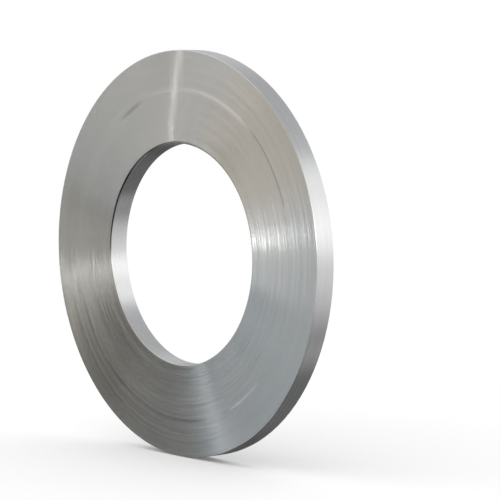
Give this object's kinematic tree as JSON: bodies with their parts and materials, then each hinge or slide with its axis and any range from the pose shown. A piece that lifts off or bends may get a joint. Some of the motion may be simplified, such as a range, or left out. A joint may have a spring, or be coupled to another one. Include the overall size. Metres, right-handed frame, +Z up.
{
  "type": "aluminium strip coil",
  "caption": "Narrow aluminium strip wound tight into a flat ring coil that stands on edge, with a round mandrel bore and slightly stepped lap edges on both ends.",
  "frame": {"origin": "on the floor under the middle of the coil, where its rim stands", "axes": "+Z up, +Y along the bore from the front end to the back end, +X to the right as the front end is seen"},
  "size_m": [0.934, 0.049, 0.9338],
  "materials": {
    "strip": "satin mill finish, slit lap edges on the ends"
  },
  "bodies": {
    "root": {"strip_coil": "strip"}
  },
  "joints": []
}
